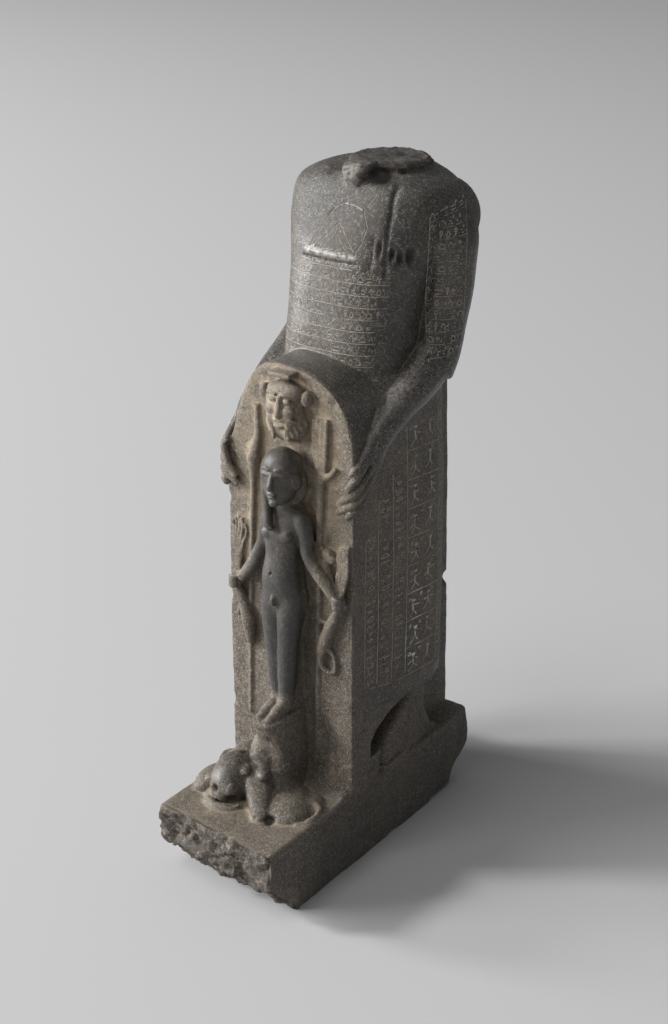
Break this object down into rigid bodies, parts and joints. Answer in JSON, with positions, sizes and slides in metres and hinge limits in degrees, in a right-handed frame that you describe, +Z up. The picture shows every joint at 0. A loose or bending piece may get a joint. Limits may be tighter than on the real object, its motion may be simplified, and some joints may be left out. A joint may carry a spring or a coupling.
{
  "type": "magical healing statue",
  "caption": "Headless standing figure in dark stone that holds an arched stela carved with a child god in high relief, on a rectangular plinth with a back pillar.",
  "frame": {"origin": "middle of the plinth's underside", "axes": "+Z up, the figure and the front of the stela face -Y, +X on the figure's left"},
  "size_m": [0.1652, 0.2886, 0.5643],
  "materials": {
    "dark_stone": "satin"
  },
  "bodies": {
    "root": {"healing_statue": "dark_stone"}
  },
  "joints": []
}
